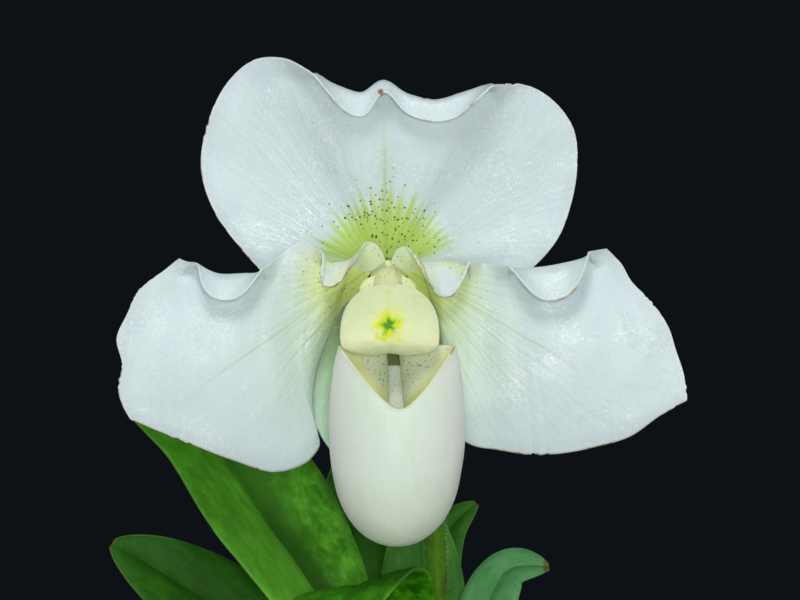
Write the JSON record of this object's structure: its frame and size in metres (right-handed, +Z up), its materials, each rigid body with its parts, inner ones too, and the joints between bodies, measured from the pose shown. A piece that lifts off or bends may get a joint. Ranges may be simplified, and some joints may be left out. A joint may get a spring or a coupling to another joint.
{
  "type": "paphiopedilum orchid",
  "caption": "White slipper orchid in flower: pouch-shaped lip, broad rolled petals and dorsal sepal, hairy stem and mottled strap leaves, in a plain clay pot of bark.",
  "frame": {"origin": "centre of the pot's flat underside, on the surface it stands on", "axes": "+Z up; the flower looks along -Y, so +X is at the right hand of someone who looks into it"},
  "size_m": [0.1207, 0.099, 0.2067],
  "materials": {
    "clay": "matt unglazed terracotta",
    "bark": "rough chips of bark",
    "crown": "rough living stem and roots",
    "leaf": "satin leaf, mottled in two greens",
    "stem": "dull, finely hairy",
    "ovary": "dull, ribbed and finely hairy",
    "bract": "satin, thin",
    "petal": "soft sheen with fine sparkle",
    "lip": "waxy satin",
    "column": "waxy satin"
  },
  "bodies": {
    "root": {"pot": "clay", "potting_mix": "bark", "crown": "crown", "leaf_1": "leaf", "leaf_2": "leaf", "leaf_3": "leaf", "leaf_4": "leaf", "leaf_5": "leaf", "leaf_6": "leaf", "leaf_7": "leaf", "leaf_8": "leaf", "flower_stem": "stem", "ovary": "ovary", "bract": "bract", "dorsal_sepal": "petal", "synsepal": "petal", "petal_left": "petal", "petal_right": "petal", "lip_pouch": "lip", "column": "column"}
  },
  "joints": []
}
